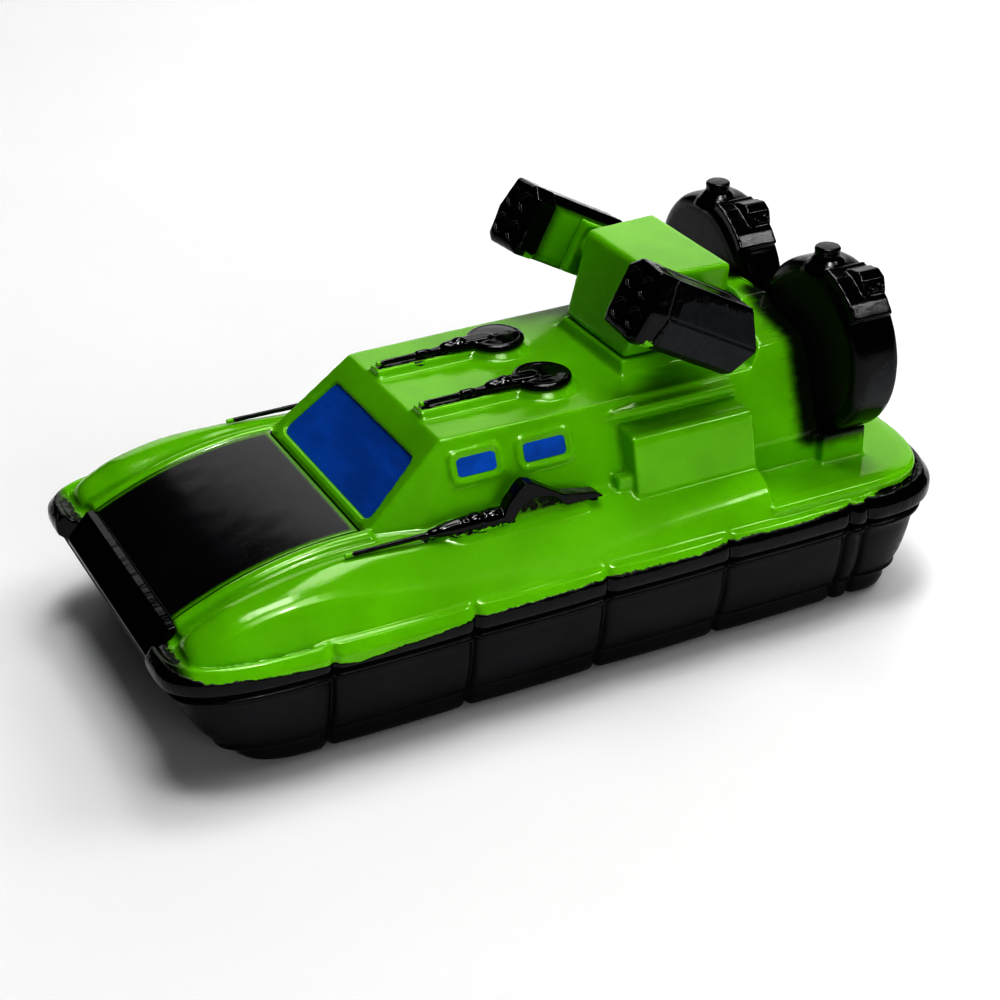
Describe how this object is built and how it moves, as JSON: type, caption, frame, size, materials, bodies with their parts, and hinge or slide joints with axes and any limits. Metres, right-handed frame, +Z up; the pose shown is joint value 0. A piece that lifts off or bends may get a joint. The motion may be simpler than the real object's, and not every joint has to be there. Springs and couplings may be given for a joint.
{
  "type": "toy hovercraft",
  "caption": "Small moulded toy hovercraft with a pleated skirt, sloped cabin, roof and side guns, a swivelling launcher turret and stern fan drums.",
  "frame": {"origin": "middle of the skirt's foot, on the surface it stands on", "axes": "+X towards the bow, +Y to port, +Z up"},
  "size_m": [0.0502, 0.0262, 0.023],
  "materials": {
    "green_plastic": "bright lime green moulded plastic, glossy and a little translucent",
    "gloss_black": "thick gloss black paint, laid on by brush",
    "satin_black": "satin black paint, sprayed with a soft edge",
    "skirt_black": "semi-matt dark grey-black plastic",
    "blue_paint": "bright blue window paint"
  },
  "bodies": {
    "hull": {"base_plate": "skirt_black", "bow_face": "gloss_black", "bow_hatch": "satin_black", "cabin": "green_plastic", "fan_cradle_port": "green_plastic", "fan_cradle_starboard": "green_plastic", "fan_drum_port": "gloss_black", "fan_drum_starboard": "gloss_black", "fan_housing": "green_plastic", "foredeck": "green_plastic", "hatch_rail_port": "green_plastic", "hatch_rail_starboard": "green_plastic", "hull_deck": "green_plastic", "locker_port": "green_plastic", "locker_starboard": "green_plastic", "roof_gun_mount_port": "green_plastic", "roof_gun_mount_starboard": "green_plastic", "roof_gun_port": "gloss_black", "roof_gun_starboard": "gloss_black", "roof_rail_port": "green_plastic", "roof_rail_starboard": "green_plastic", "side_gun_mount_port": "green_plastic", "side_gun_mount_starboard": "green_plastic", "side_gun_port": "gloss_black", "side_gun_starboard": "gloss_black", "side_window_port_1": "blue_paint", "side_window_port_2": "blue_paint", "side_window_starboard_1": "blue_paint", "side_window_starboard_2": "blue_paint", "skirt": "skirt_black", "sponson_port": "green_plastic", "sponson_starboard": "green_plastic", "stern_deck": "green_plastic", "turret_base": "green_plastic", "windscreen": "blue_paint"},
    "turret": {"turret_block": "green_plastic"},
    "launcher": {"launcher_muzzle_port": "gloss_black", "launcher_muzzle_starboard": "gloss_black", "launcher_pod_port": "satin_black", "launcher_pod_starboard": "satin_black", "launcher_shaft": "green_plastic"},
    "fan_rotor_port": {"fan_rotor_port": "satin_black"},
    "fan_rotor_starboard": {"fan_rotor_starboard": "satin_black"}
  },
  "joints": [
    {"name": "turret_swivel", "type": "hinge", "parent": "hull", "child": "turret", "pos_m": [-0.01, 0, 0.0155], "axis": [0, 0, 1], "range_deg": [-20, 20]},
    {"name": "launcher_elevation", "type": "hinge", "parent": "turret", "child": "launcher", "pos_m": [-0.00906, 0, 0.01896], "axis": [0, 1, 0], "range_deg": [-5, 29]},
    {"name": "fan_spin_port", "type": "hinge", "parent": "hull", "child": "fan_rotor_port", "pos_m": [-0.0195, 0.00611, 0.01493], "axis": [1, 0, 0], "continuous": true},
    {"name": "fan_spin_starboard", "type": "hinge", "parent": "hull", "child": "fan_rotor_starboard", "pos_m": [-0.0195, -0.00611, 0.01493], "axis": [1, 0, 0], "continuous": true}
  ]
}
